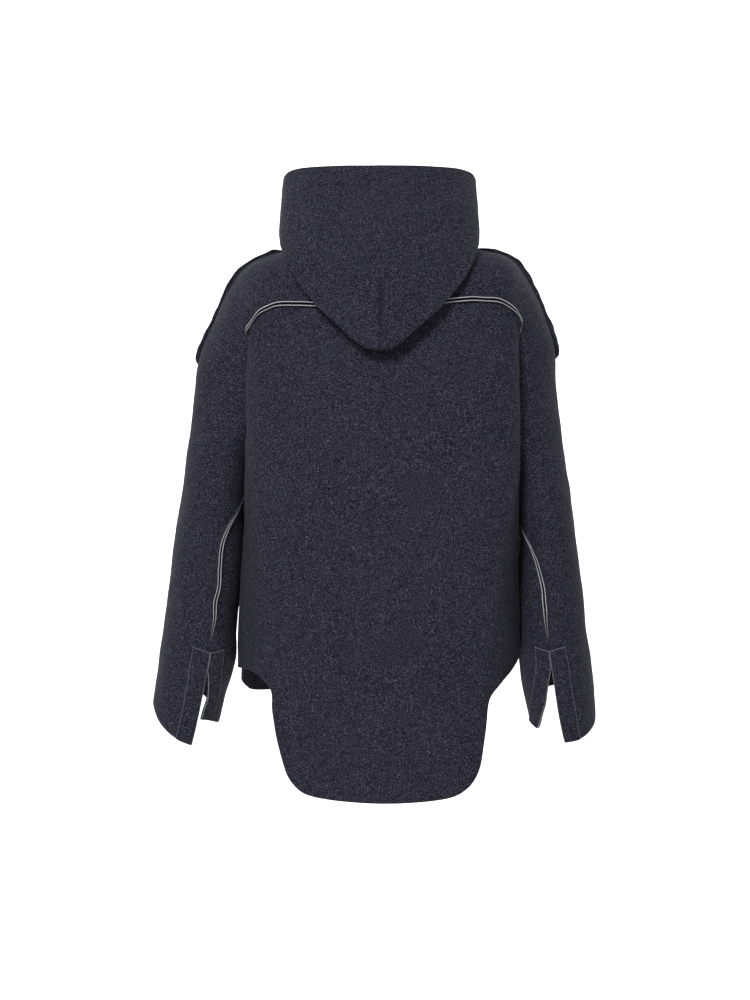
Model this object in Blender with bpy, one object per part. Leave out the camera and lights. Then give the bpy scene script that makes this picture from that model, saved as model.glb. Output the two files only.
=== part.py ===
"""Hooded pull-over anorak of thick felted wool, filled out and hollow.

The wearer faces -Y, +Z is up and +X is the wearer's left. The origin lies
between the shoulders, where the wearer carries the garment.
"""
import math

import bpy
import numpy as np

# ---------------------------------------------------------------- sizes (metres)
CLOTH = 0.0022            # thickness of the felted cloth
SEAM_GAP = 0.0003         # distance between two pieces at a seam
ARMHOLE_GAP = 0.0005      # the body stays this far back from the armhole seam
LIP_HEIGHT = 0.0058       # raw seam allowance that stands outward
LIP_SPREAD = 0.0050       # distance between the middles of the two standing edges
LIP_FOOT = 0.0027         # width of one allowance where it leaves the panel
FACING_WIDTH = 0.029      # width of one strip of the cuff facing
FACING_CLEARANCE = 0.0006 # the facing lies this far off the sleeve
SLEEVE_ROUNDNESS = 2.15
SLEEVE_COLUMNS = 18
STATION_STEP = 0.5        # a row of faces for every half section of a sleeve
SIDE_SEAM_ROWS = 9
NECK_SPANS = 4            # spans of the neck line in each of its quarters
BODY_ROUNDNESS = 3.0
BACK_WRAP = 112           # degrees from the middle of the back to its side seam
END_PULL = 8              # how late a panel bends towards its side seam
HEM_CURL = 0.05           # the shirt tail leans in by this share of its length
HEM_REACH = 1.5           # how late a panel bends towards the shape of its hem
TAIL_FLATNESS = 0.6       # how far the sides of the tail stay in line with the back
HOOD_HALF_COLUMNS = 24
# Places along the hood's profile, from the rim 0 over the fold 4 to the neck 8.
HOOD_ROWS = (0, 0.5, 1, 1.5, 2, 2.5, 3, 3.33, 3.67, 4, 4.33, 4.67, 5, 5.67, 6.33, 7, 7.5, 8)

FELT = (0.030, 0.031, 0.050, 1.0)
FELT_DARK = (0.024, 0.025, 0.040, 1.0)

# One row for each section of a sleeve with its half of the yoke, from the middle of
# the back over the shoulder and down to the cuff. mid_x, mid_z: middle of the section;
# top_x, top_z: its outermost point; mid_y, depth: middle and half depth of the section;
# front, back: angles in degrees where the cloth starts and ends, 0 at the outermost
# point, 90 at the back.
LEFT_SLEEVE = (
    (0.000, -0.084, 0.000, 0.016, 0.000, 0.118, 40, 90),     # middle of the back
    (0.048, -0.084, 0.046, 0.020, 0.000, 0.117, 33, 90),
    (0.095, -0.084, 0.092, 0.020, 0.000, 0.114, 4, 90),      # side of the neck
    (0.142, -0.084, 0.151, -0.001, 0.000, 0.107, 0, 90),
    (0.163, -0.087, 0.182, -0.012, 0.000, 0.101, 0, 90),
    (0.182, -0.099, 0.207, -0.029, 0.000, 0.093, 0, 90),     # rounded yoke corner
    (0.194, -0.118, 0.228, -0.057, 0.000, 0.083, 0, 90),
    (0.192, -0.139, 0.246, -0.097, 0.000, 0.073, -2, 90),
    (0.194, -0.160, 0.272, -0.157, 0.000, 0.067, -6, 90),    # end of the shoulder seam
    (0.197, -0.200, 0.281, -0.204, -0.001, 0.064, -58, 90),
    (0.212, -0.250, 0.287, -0.262, -0.003, 0.066, -100, 102),
    (0.240, -0.300, 0.294, -0.309, -0.005, 0.070, -145, 140),
    (0.2485, -0.347, 0.299, -0.350, -0.005, 0.073, -188, 172),  # underarm
    (0.2565, -0.420, 0.309, -0.418, -0.011, 0.074, -243, 117),
    (0.263, -0.490, 0.318, -0.486, -0.014, 0.073, -249, 111),
    (0.272, -0.560, 0.327, -0.554, -0.016, 0.071, -249, 111),
    (0.2755, -0.605, 0.333, -0.598, -0.017, 0.069, -254.4, 105.6),  # top of the slit
    (0.286, -0.655, 0.339, -0.646, -0.018, 0.067, -240.3, 106.1),
    (0.295, -0.700, 0.345, -0.690, -0.019, 0.066, -239.5, 103.1),   # cuff
)
RIGHT_SLEEVE = (
    (0.000, -0.084, 0.000, 0.016, 0.000, 0.118, 40, 90),
    (0.048, -0.082, 0.046, 0.020, 0.000, 0.117, 33, 90),
    (0.097, -0.080, 0.092, 0.020, 0.000, 0.114, 4, 90),
    (0.142, -0.076, 0.156, 0.005, 0.000, 0.107, 0, 90),
    (0.178, -0.079, 0.190, -0.004, 0.000, 0.100, 0, 90),
    (0.199, -0.089, 0.212, -0.020, 0.000, 0.092, 0, 90),
    (0.207, -0.108, 0.229, -0.048, 0.000, 0.082, 0, 90),
    (0.204, -0.132, 0.246, -0.086, 0.000, 0.073, -2, 90),
    (0.202, -0.158, 0.266, -0.143, 0.000, 0.067, -6, 90),
    (0.203, -0.205, 0.269, -0.208, -0.001, 0.064, -58, 90),
    (0.214, -0.262, 0.277, -0.272, -0.003, 0.066, -100, 100),
    (0.240, -0.330, 0.286, -0.336, -0.005, 0.071, -145, 133),
    (0.249, -0.385, 0.293, -0.386, -0.005, 0.074, -192, 168),
    (0.2565, -0.440, 0.301, -0.437, -0.010, 0.074, -232, 128),
    (0.2595, -0.500, 0.308, -0.497, -0.013, 0.072, -254.1, 105.9),
    (0.263, -0.560, 0.315, -0.556, -0.015, 0.070, -258.3, 101.7),
    (0.266, -0.605, 0.320, -0.600, -0.016, 0.068, -263, 97),
    (0.271, -0.655, 0.325, -0.650, -0.017, 0.066, -249, 93.3),
    (0.277, -0.700, 0.329, -0.695, -0.018, 0.065, -223, 89),
)
NECK_SIDE, YOKE_END, SHOULDER_END, UNDERARM, SLIT_TOP = 2, 7, 8, 12, 16
FACING_TOP = 15.5         # section at which the cuff facing starts
FRONT_VALLEY = 10.5       # below it sleeve and front face each other like a valley
HOOD_COVERS = 2.9         # the hood lies on the shoulder seam up to this section
CUFF_BACK_DROP = 0.040    # the cuff is longer at the back than at the front
CUFF_OUTER_RISE = {1: 0.013, -1: -0.004}
CUFF_INNER_LIFT = {1: 0.040, -1: 0.009}   # the cuff rises towards the inner side of its slit

# One row for each height of the body below the yoke: half widths on the wearer's left
# and right, how far the back and the front stand off the middle.
BODY_SECTIONS = (
    # height, left, right, back, front, fold: depth of the back's folded side edge
    (-0.139, 0.197, 0.209, 0.124, 0.116, 0.075),
    (-0.200, 0.199, 0.210, 0.130, 0.128, 0.079),
    (-0.285, 0.200, 0.212, 0.134, 0.136, 0.077),
    (-0.375, 0.204, 0.2115, 0.136, 0.140, 0.070),
    (-0.465, 0.210, 0.215, 0.137, 0.142, 0.062),
    (-0.550, 0.216, 0.219, 0.136, 0.142, 0.055),
    (-0.620, 0.217, 0.219, 0.134, 0.140, 0.050),
    (-0.700, 0.215, 0.216, 0.130, 0.136, 0.048),
)
SIDE_SEAM_Y = -0.028      # depth of the side seams
SIDE_INSET = 0.014        # the side seams lie inside the folded edge of the back
SIDE_END = {1: -0.628, -1: -0.578}   # height at which the side seams end
SIDE_SEAM_TURN = 0.10     # the side seams swing forward over this height

# Lower edge of the back with its long shirt tail, from the left side seam to the right.
BACK_HEM = (
    # share across, x, height
    (1.00, 0.203, -0.628),
    (0.86, 0.2155, -0.628),
    (0.76, 0.186, -0.632),
    (0.69, 0.164, -0.656),
    (0.62, 0.157, -0.708),
    (0.54, 0.147, -0.757),
    (0.44, 0.130, -0.796),
    (0.30, 0.095, -0.816),
    (0.00, 0.000, -0.825),
    (-0.30, -0.090, -0.820),
    (-0.44, -0.128, -0.806),
    (-0.54, -0.149, -0.776),
    (-0.62, -0.158, -0.722),
    (-0.69, -0.166, -0.672),
    (-0.76, -0.185, -0.645),
    (-0.86, -0.212, -0.612),
    (-1.00, -0.206, -0.578),
)
# Lower edge of the plain front, from the left side seam to the right.
FRONT_HEM = (
    (1.00, 0.203, -0.628),
    (0.95, 0.2105, -0.641),
    (0.90, 0.2105, -0.652),
    (0.84, 0.203, -0.662),
    (0.76, 0.188, -0.668),
    (0.40, 0.120, -0.668),
    (0.00, 0.000, -0.668),
    (-0.40, -0.120, -0.664),
    (-0.80, -0.190, -0.644),
    (-1.00, -0.206, -0.578),
)

# One row for each direction round the neck, in degrees from the middle of the back.
# rim: opening edge; fold: lowest line of the pouch, each as reach from the middle in
# x and y and as height.
HOOD_SECTIONS = (
    # angle, rim_x, rim_y, rim_z, fold_x, fold_y, fold_z
    (0, 0.000, 0.046, 0.1295, 0.000, 0.158, -0.1520),
    (14, 0.050, 0.044, 0.1290, 0.025, 0.156, -0.1475),
    (28, 0.092, 0.038, 0.1275, 0.060, 0.150, -0.1210),
    (42, 0.122, 0.026, 0.1250, 0.097, 0.138, -0.0890),
    (56, 0.141, 0.008, 0.1190, 0.128, 0.118, -0.0500),
    (72, 0.147, -0.018, 0.1060, 0.145, 0.086, -0.0140),
    (90, 0.143, -0.048, 0.0830, 0.149, 0.040, 0.0080),
    (112, 0.128, -0.078, 0.0500, 0.136, -0.020, 0.0150),
    (135, 0.098, -0.104, 0.0130, 0.106, -0.066, -0.0080),
    (158, 0.055, -0.124, -0.0160, 0.060, -0.098, -0.0360),
    (180, 0.000, -0.132, -0.0300, 0.000, -0.112, -0.0480),
)
HOOD_RISE = 0.0009        # the hood's edge lies this far above the neck line
HOOD_SWELL = 0.16         # how far the outside of the hood swells, as a share of its pouch
POUCH_LIFT = 0.17         # how far the underside of the pouch stands off the yoke
FOLD_RADIUS = 0.008       # radius of the fold at the lower edge of the pouch
FRONT_NECK_DROP = 0.062   # front of the neck below the sides of the neck
FRONT_NECK_REACH = 0.098  # front of the neck forward of the sides
DART_TOP = -0.042         # height at which the crown dart of the hood starts
DART_DEPTH = 0.0022


# ---------------------------------------------------------------- small maths
def unit(vector):
    return vector / max(np.linalg.norm(vector), 1e-12)


def spline(rows, position):
    """Smooth curve through table rows, read at a fractional row number."""
    table = np.asarray(rows, dtype=float)
    last = len(table) - 1
    position = min(max(position, 0.0), float(last))
    index = min(int(position), last - 1)
    share = position - index
    before = table[max(index - 1, 0)]
    start, end = table[index], table[index + 1]
    after = table[min(index + 2, last)]
    leave = (end - before) / 2
    arrive = (after - start) / 2
    square, cube = share ** 2, share ** 3
    return ((2 * cube - 3 * square + 1) * start + (cube - 2 * square + share) * leave
            + (3 * square - 2 * cube) * end + (cube - square) * arrive)


def spline_at(rows, key):
    """Smooth curve through table rows, read at a value of their first column."""
    keys = [row[0] for row in rows]
    if keys[0] > keys[-1]:
        return spline_at(rows[::-1], key)
    key = min(max(key, keys[0]), keys[-1])
    index = max(i for i in range(len(keys) - 1) if keys[i] <= key)
    share = (key - keys[index]) / (keys[index + 1] - keys[index])
    return spline([row[1:] for row in rows], index + share)


def ease(value):
    value = min(max(value, 0.0), 1.0)
    return value * value * (3 - 2 * value)


def power(value, exponent):
    return math.copysign(abs(value) ** exponent, value)


# ---------------------------------------------------------------- cloth walls
def grid_normals(points, outward):
    """Unit normals of a grid of points, on the side that the given function names."""
    rows_step = np.gradient(points, axis=0)
    columns_step = np.gradient(points, axis=1)
    normals = np.cross(rows_step, columns_step)
    normals /= np.linalg.norm(normals, axis=2, keepdims=True)
    middle = tuple(size // 2 for size in points.shape[:2])
    if np.dot(normals[middle], outward(points[middle])) < 0:
        normals = -normals
    return normals


def with_lip(outer, inner, normals, heights):
    """Turn the last column of a wall outward as a raw, standing seam allowance."""
    edge, neighbour = outer[:, -1], outer[:, -2]
    across = neighbour - edge
    across /= np.linalg.norm(across, axis=1, keepdims=True)
    normal = normals[:, -1]
    full = np.clip(heights / LIP_HEIGHT, 0, 1)[:, None]
    across = across - full * np.sum(across * normal, axis=1, keepdims=True) * normal
    across /= np.linalg.norm(across, axis=1, keepdims=True)
    rise = normal * heights[:, None]
    near = SEAM_GAP / 2 + full * (LIP_SPREAD - CLOTH) / 2
    foot_outer = edge + across * LIP_FOOT
    foot_inner = edge + across * SEAM_GAP / 2 - normal * CLOTH
    top_outer = edge + across * (near + full * CLOTH) + rise
    top_inner = edge + across * near + rise - normal * (CLOTH / 2) * (1 - full)
    outer = np.concatenate([outer[:, :-1], foot_outer[:, None], top_outer[:, None]], axis=1)
    inner = np.concatenate([inner[:, :-1], foot_inner[:, None], top_inner[:, None]], axis=1)
    return outer, inner


def pull_in(points, distance):
    """Move the last column of a grid towards its neighbour."""
    away = points[:, -2] - points[:, -1]
    away /= np.linalg.norm(away, axis=1, keepdims=True)
    points[:, -1] += away * distance


def last_column_view(edge, grid):
    """Turn a grid so that one edge becomes its last column; the same turn undoes it."""
    if edge in ("top", "bottom"):
        grid = grid.swapaxes(0, 1)
    if edge in ("first", "top"):
        grid = grid[:, ::-1]
    return grid


def first_grid_view(edge, grid):
    if edge in ("first", "top"):
        grid = grid[:, ::-1]
    if edge in ("top", "bottom"):
        grid = grid.swapaxes(0, 1)
    return grid


def cloth_walls(points, outward, seams, thickness=CLOTH):
    """Outer and inner points of a cloth wall.

    seams names the sewn edges, each with the directions in which the seam faces and
    either the heights of its outward allowance or how far a plain edge stays back.
    """
    normals = grid_normals(points, outward)
    for edge, (facing, _, _) in seams.items():
        turned = last_column_view(edge, normals)
        turned[:, -1] = np.where(np.isnan(facing), turned[:, -1], facing)
    outer, inner = points.copy(), points - normals * thickness
    for edge, (_, heights, gaps) in seams.items():
        outer, inner, normals = (last_column_view(edge, g).copy() for g in (outer, inner, normals))
        if heights is None:
            pull_in(outer, gaps)
            pull_in(inner, gaps)
        else:
            outer, inner = with_lip(outer, inner, normals, heights)
            normals = np.concatenate([normals, normals[:, -1:]], axis=1)
        outer, inner, normals = (first_grid_view(edge, g) for g in (outer, inner, normals))
    return outer, inner


def closed_wall(name, outer, inner, material, collection, ring=False):
    """One closed solid between two grids of points; a ring joins last column to first."""
    rows, columns = outer.shape[:2]
    vertices = np.concatenate([outer.reshape(-1, 3), inner.reshape(-1, 3)])
    shift = rows * columns
    faces = []

    def at(row, column, layer):
        return layer * shift + row * columns + column % columns

    spans = columns if ring else columns - 1
    for row in range(rows - 1):
        for column in range(spans):
            corners = [(row, column), (row, column + 1), (row + 1, column + 1), (row + 1, column)]
            places = [outer[r, c % columns] for r, c in corners]
            if np.linalg.norm(places[0] - places[2]) > np.linalg.norm(places[1] - places[3]):
                corners = corners[1:] + corners[:1]
            for a, b, c in ((0, 1, 2), (0, 2, 3)):
                faces.append([at(*corners[k], 0) for k in (a, b, c)])
                faces.append([at(*corners[k], 1) for k in (c, b, a)])
    for row, step in ((0, 1), (rows - 1, -1)):
        for column in range(spans):
            strip = [at(row, column, 0), at(row, column, 1), at(row, column + 1, 1), at(row, column + 1, 0)]
            faces.append(strip[::step])
    if not ring:
        for column, step in ((0, -1), (columns - 1, 1)):
            for row in range(rows - 1):
                strip = [at(row, column, 0), at(row, column, 1), at(row + 1, column, 1), at(row + 1, column, 0)]
                faces.append(strip[::step])
    mesh = bpy.data.meshes.new(name)
    mesh.from_pydata([tuple(v) for v in vertices], [], faces)
    mesh.validate()
    flip_if_inside_out(mesh)
    mesh.shade_smooth()
    mesh.set_sharp_from_angle(angle=math.radians(50))
    mesh.materials.append(material)
    body = bpy.data.objects.new(name, mesh)
    collection.objects.link(body)
    return body


def flip_if_inside_out(mesh):
    volume = 0.0
    mesh.calc_loop_triangles()
    for triangle in mesh.loop_triangles:
        a, b, c = (mesh.vertices[i].co for i in triangle.vertices)
        volume += a.dot(b.cross(c))
    if volume < 0:
        mesh.flip_normals()


# ---------------------------------------------------------------- shared seam lines
def sleeve_point(side, station, angle):
    """Point on a sleeve: side is 1 on the wearer's left and -1 on the right."""
    table = LEFT_SLEEVE if side > 0 else RIGHT_SLEEVE
    mid_x, mid_z, top_x, top_z, mid_y, depth, _, _ = spline(table, station)
    turn = math.radians(angle)
    reach = power(math.cos(turn), 2 / SLEEVE_ROUNDNESS)
    swing = power(math.sin(turn), 2 / SLEEVE_ROUNDNESS)
    drop = -CUFF_BACK_DROP * math.sin(turn) + CUFF_OUTER_RISE[side] * math.cos(turn)
    lower = ease((station - SLIT_TOP + 2) / 4)
    lift = CUFF_INNER_LIFT[side] * ease((-angle - 150) / 90) * ease((station - SLIT_TOP) / 2)
    return np.array((
        side * (mid_x + (top_x - mid_x) * reach),
        mid_y + depth * swing,
        mid_z + (top_z - mid_z) * reach + drop * lower + lift,
    ))


def sleeve_angles(side, station):
    table = LEFT_SLEEVE if side > 0 else RIGHT_SLEEVE
    if station < SLIT_TOP - 1:
        front, back = spline(table, station)[6:]
        return (back - 360 if station >= UNDERARM else front), back
    index = min(int(station), len(table) - 2)
    share = station - index
    return tuple(table[index][k] * (1 - share) + table[index + 1][k] * share for k in (6, 7))


def back_edge(side, station):
    """Seam line that the sleeve's back edge follows: yoke, armhole, sleeve seam."""
    return sleeve_point(side, station, sleeve_angles(side, station)[1])


def front_edge(side, station):
    """Seam line of the sleeve's front edge: neck, shoulder, armhole."""
    return sleeve_point(side, station, sleeve_angles(side, station)[0])


def sleeve_facing(side, station, angle):
    """Outward direction of a sleeve's cloth."""
    last = len(LEFT_SLEEVE) - 1
    low, high = max(station - 0.05, 0), min(station + 0.05, last)
    along = sleeve_point(side, high, angle) - sleeve_point(side, low, angle)
    round_it = sleeve_point(side, station, angle + 2) - sleeve_point(side, station, angle - 2)
    return unit(np.cross(round_it, along)) * -side


def seam_facing(side, station, edge):
    """Direction that both pieces share at a seam of the sleeve.

    It is not a number where the seam lies in a valley and each piece keeps its own.
    """
    angle = sleeve_angles(side, station)[0 if edge is front_edge else 1]
    own = sleeve_facing(side, station, angle)
    own_from = FRONT_VALLEY if edge is front_edge else YOKE_END
    if own_from < station < UNDERARM:
        return np.full(3, np.nan)
    if station >= UNDERARM:
        return own
    if edge is front_edge:
        turned = ease((station - YOKE_END + 2) / 3)
        lean = 0.6 * side * ease((station - FRONT_VALLEY) * 2 + 1)
        return unit(own + unit(np.array((0.0, -0.85, 0.5))) * (1 - turned) + (lean, 0, 0))
    turned = ease((station - YOKE_END + 2) / 2)
    return unit(own + np.array((side * 2.5 * turned, 1 - turned, 0.0)))


def body_section(height):
    return spline_at(BODY_SECTIONS, height)


def flat_depth(x, height):
    """Depth of the back's own arch at a place across it."""
    section = body_section(height)
    half = section[0] if x > 0 else section[1]
    share = min(abs(x) / half, 1)
    return section[4] + (section[2] - section[4]) * (1 - share ** BODY_ROUNDNESS) ** (1 / BODY_ROUNDNESS)


def side_seam(side, height):
    left, right = body_section(height)[:2]
    half = left if side > 0 else right
    start = back_edge(side, UNDERARM)
    share = ease((start[2] - height) / SIDE_SEAM_TURN)
    x = start[0] * (1 - share) + side * (half - SIDE_INSET) * share
    y = start[1] * (1 - share) + SIDE_SEAM_Y * share
    return np.array((x, y, height))


def side_edge(side, first_station, edge):
    """Side of a body panel: armhole down to the underarm, then the side seam.

    Gives its points, the directions in which the seam faces and how far the panel stays
    back from it.
    """
    stations = np.arange(first_station, UNDERARM + 0.01, STATION_STEP)
    points = [edge(side, station) for station in stations]
    facings = [seam_facing(side, station, edge) for station in stations]
    facings[-1] = unit(np.array((side, -0.15, 0.0)))
    gaps = [ARMHOLE_GAP] * len(stations) + [SEAM_GAP / 2] * SIDE_SEAM_ROWS
    start = points[-1][2]
    for share in np.linspace(0, 1, SIDE_SEAM_ROWS + 1)[1:]:
        points.append(side_seam(side, start + (SIDE_END[side] - start) * share))
        facings.append(unit(np.array((side, -0.15, 0.0))))
    return np.array(points), np.array(facings), np.array(gaps)[:, None]


def front_neck(share):
    """Front of the neck line, share from 1 at the left of the neck to -1 at the right."""
    side = 1 if share >= 0 else -1
    start = front_edge(side, NECK_SIDE)
    turn = math.radians(90 * (1 - abs(share)))
    return np.array((
        start[0] * math.cos(turn),
        start[1] - FRONT_NECK_REACH * math.sin(turn),
        start[2] - FRONT_NECK_DROP * math.sin(turn) ** 1.5,
    ))


def neck_line(side, angle):
    """Neck line by its direction from the middle of the back, along the panels' own spans."""
    span = 90 / NECK_SPANS
    index = min(int(angle / span), 2 * NECK_SPANS - 1)

    def node(number):
        if number <= NECK_SPANS:
            return front_edge(side, NECK_SIDE * number / NECK_SPANS)
        return front_neck(side * (2 - number / NECK_SPANS))

    share = angle / span - index
    return node(index) * (1 - share) + node(index + 1) * share


# ---------------------------------------------------------------- panels
def yoke_lip(station):
    """Share of the allowance that stands at the yoke seam; it ends at the corner."""
    return 1 - ease((station - YOKE_END + 1) * 0.8)


def yoke_top():
    """Top seam of the back, from the wearer's left to the right."""
    half = np.arange(0, YOKE_END + 0.01, STATION_STEP)
    order = [(1, station) for station in half[::-1]] + [(-1, station) for station in half[1:]]
    points = np.array([back_edge(side, station) for side, station in order])
    facings = np.array([seam_facing(side, station, back_edge) for side, station in order])
    heights = np.array([LIP_HEIGHT * yoke_lip(station) for _, station in order])
    return points, facings, heights


def shoulder_top():
    """Top of the front: shoulder seam, neck line, shoulder seam."""
    shoulder = np.arange(NECK_SIDE, SHOULDER_END + 0.01, STATION_STEP)
    shares = np.linspace(1, -1, 2 * NECK_SPANS + 1)[1:-1]
    points, facings, heights = [], [], []
    for side, stations in ((1, shoulder[::-1]), (-1, shoulder)):
        if side < 0:
            points += [front_neck(share) for share in shares]
            facings += [unit(np.array((0.0, -abs(1 - abs(share)), 1.0))) for share in shares]
            heights += [0.0] * len(shares)
        points += [front_edge(side, station) for station in stations]
        facings += [seam_facing(side, station, front_edge) for station in stations]
        heights += [LIP_HEIGHT * ease(station - HOOD_COVERS) for station in stations]
    return np.array(points), np.array(facings), np.array(heights)


def body_panel(top, sides, hem, facing):
    """Grid of a body panel between its top seam, its two sides and its hem.

    facing is 1 for the back and -1 for the front.
    """
    stand_column = 2 if facing > 0 else 3
    reach = math.radians(BACK_WRAP if facing > 0 else 90)
    under = power(math.cos(reach), 2 / BODY_ROUNDNESS)
    shares = np.linspace(1, -1, len(top))
    rows = len(sides[1])

    def arch(share, row):
        side = 1 if share >= 0 else -1
        left, right = sides[1][row], sides[-1][row]
        height = (left[2] * (1 + share) + right[2] * (1 - share)) / 2
        section = body_section(height)
        end = left if side > 0 else right
        half = section[0 if side > 0 else 1] if facing > 0 else abs(end[0])
        stand = facing * section[stand_column]
        widest = section[4] if facing > 0 else end[1]
        turn = reach * abs(share)
        across = side * half * power(math.sin(turn), 2 / BODY_ROUNDNESS)
        y = widest + (stand - widest) * power(math.cos(turn), 2 / BODY_ROUNDNESS)
        miss_x = end[0] - side * half * power(math.sin(reach), 2 / BODY_ROUNDNESS)
        miss_y = end[1] - widest - (stand - widest) * under
        late = abs(share) ** END_PULL
        return np.array((across + miss_x * late, y + miss_y * late, height))

    grid = np.zeros((rows, len(top), 3))
    for column, share in enumerate(shares):
        lift = top[column] - arch(share, 0)
        foot = arch(share, rows - 1)
        x, height = spline_at(hem, share)
        flat = flat_depth(x, foot[2]) - foot[1] if facing > 0 else 0
        in_line = TAIL_FLATNESS * (1 - ease((abs(share) - 0.68) / 0.16))
        bottom = np.array((x, foot[1] + flat * in_line - facing * HEM_CURL * (foot[2] - height), height))
        for row in range(rows):
            down = row / (rows - 1)
            grid[row, column] = (arch(share, row) + lift * (1 - down) ** 3
                                 + (bottom - foot) * ease((down - 0.25) / 0.75) ** HEM_REACH)
    for column, side in ((0, 1), (-1, -1)):
        grid[:, column] = sides[side]
    return grid


def make_body_panel(name, top_seam, edge, first_station, hem, facing, material, collection):
    top, top_facing, heights = top_seam
    left, left_facing, left_gaps = side_edge(1, first_station, edge)
    right, right_facing, right_gaps = side_edge(-1, first_station, edge)
    grid = body_panel(top, {1: left, -1: right}, hem, facing)
    seams = {
        "first": (left_facing, None, left_gaps),
        "last": (right_facing, None, right_gaps),
        "top": (top_facing, heights, None),
    }
    walls = cloth_walls(grid, lambda p: np.array((0, facing, 0)), seams)
    return closed_wall(name, *walls, material, collection)


def lip_profile(stations, edge):
    """Heights of the standing allowance along a sleeve's edge."""
    heights = []
    for station in stations:
        height = 1 - ease(station - FACING_TOP + 1)
        if edge is back_edge:
            shown = yoke_lip(station)
        else:
            shown = ease(station - HOOD_COVERS) * (1 - ease(station - SHOULDER_END))
        height *= max(shown, ease(station - UNDERARM))
        heights.append(LIP_HEIGHT * height)
    return np.array(heights)


def make_sleeve(side, name, material, collection):
    stations = np.arange(0, len(LEFT_SLEEVE) - 0.99, STATION_STEP)
    grid, seams = [], {}
    for station in stations:
        front, back = sleeve_angles(side, station)
        grid.append([sleeve_point(side, station, angle) for angle in np.linspace(front, back, SLEEVE_COLUMNS)])
    for name_of_edge, edge in (("first", front_edge), ("last", back_edge)):
        facings = np.array([seam_facing(side, station, edge) for station in stations])
        seams[name_of_edge] = (facings, lip_profile(stations, edge), None)
    grid = np.array(grid)
    grid[0, :, 0] = side * SEAM_GAP / 2
    middle = np.array((side * 0.20, 0, -0.30))
    outer, inner = cloth_walls(grid, lambda p: p - middle, seams)
    for layer in (outer, inner):
        layer[0, :, 0] = side * SEAM_GAP / 2
    return closed_wall(name, outer, inner, material, collection)


def make_facing(side, half, name, material, collection):
    """Strip beside the cuff slit, laid on the sleeve."""
    rows, columns = 9, 5
    last = len(LEFT_SLEEVE) - 1
    grid = []
    for station in np.linspace(FACING_TOP, last, rows):
        front, back = sleeve_angles(side, station)
        edge = back if half == "outer" else front
        step = -1 if half == "outer" else 1
        depth = spline(LEFT_SLEEVE if side > 0 else RIGHT_SLEEVE, station)[5]
        turn = math.degrees(FACING_WIDTH / depth)
        line = []
        for share in np.linspace(0, 1, columns):
            dip = 0.10 * (1 - share) * (1 - ease(station - FACING_TOP))
            line.append(sleeve_point(side, station + dip, edge + step * turn * share))
        grid.append(line)
    grid = np.array(grid)
    middle = np.array((side * 0.27, 0, 0))
    normals = grid_normals(grid, lambda p: (p - middle) * (1, 1, 0))
    raised = grid + normals * (CLOTH * 0.8 + FACING_CLEARANCE)
    pull_in(raised[:, ::-1], SEAM_GAP)
    inner = raised - normals * CLOTH * 0.8
    return closed_wall(name, raised, inner, material, collection)


def hood_profile(side, angle):
    """Points from the rim down the outside, round the fold and back to the neck."""
    rim_x, rim_y, rim_z, fold_x, fold_y, fold_z = spline_at(HOOD_SECTIONS, angle)
    turn = math.radians(angle)
    away = np.array((side * math.sin(turn), math.cos(turn), 0.0))
    rim = np.array((side * rim_x, rim_y, rim_z))
    fold = np.array((side * fold_x, fold_y, fold_z))
    neck = neck_line(side, angle) + np.array((0, 0, HOOD_RISE))
    depth = np.linalg.norm(fold - neck)
    swell = away * (0.25, 1, 1) * HOOD_SWELL * depth
    up = np.array((0, 0, FOLD_RADIUS))
    inward = -away * FOLD_RADIUS
    under = fold + 2 * inward + up
    lift = np.array((0, 0.7 * ease(1.5 - angle / 90) * 2 - 0.7, 0.7)) * POUCH_LIFT * depth
    return (
        rim,
        rim + (fold - rim) * 0.33 + swell * 0.8,
        rim + (fold - rim) * 0.70 + swell,
        fold + up,
        fold + inward,
        under,
        under + (neck - under) * 0.35 + lift,
        under + (neck - under) * 0.70 + lift * 1.15,
        neck,
    )


def hood_grid():
    columns = 2 * HOOD_HALF_COLUMNS
    grid = np.zeros((len(HOOD_ROWS), columns, 3))
    for column in range(columns):
        angle = 360 * column / columns
        side = 1 if angle <= 180 else -1
        profile = hood_profile(side, angle if angle <= 180 else 360 - angle)
        for row, position in enumerate(HOOD_ROWS):
            grid[row, column] = spline(profile, position)
        if column == 0:
            for row, position in enumerate(HOOD_ROWS):
                below_top = ease((DART_TOP - grid[row, 0, 2]) / 0.03)
                grid[row, 0, 1] -= DART_DEPTH * below_top * (1 - ease(position - 2.8))
    return grid


def make_hood(material, collection):
    grid = hood_grid()
    wrapped = np.concatenate([grid[:, -1:], grid, grid[:, :1]], axis=1)
    normals = grid_normals(wrapped, lambda p: np.array((0, 0, 0)))[:, 1:-1]
    if normals[2, 0][1] < 0:
        normals = -normals
    return closed_wall("hood", grid, grid - normals * CLOTH, material, collection, ring=True)


# ---------------------------------------------------------------- scene
def felt_material(name, colour):
    material = bpy.data.materials.new(name)
    material.use_nodes = True
    shader = material.node_tree.nodes["Principled BSDF"]
    shader.inputs["Base Color"].default_value = colour
    shader.inputs["Roughness"].default_value = 0.92
    shader.inputs["Metallic"].default_value = 0.0
    return material


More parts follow.
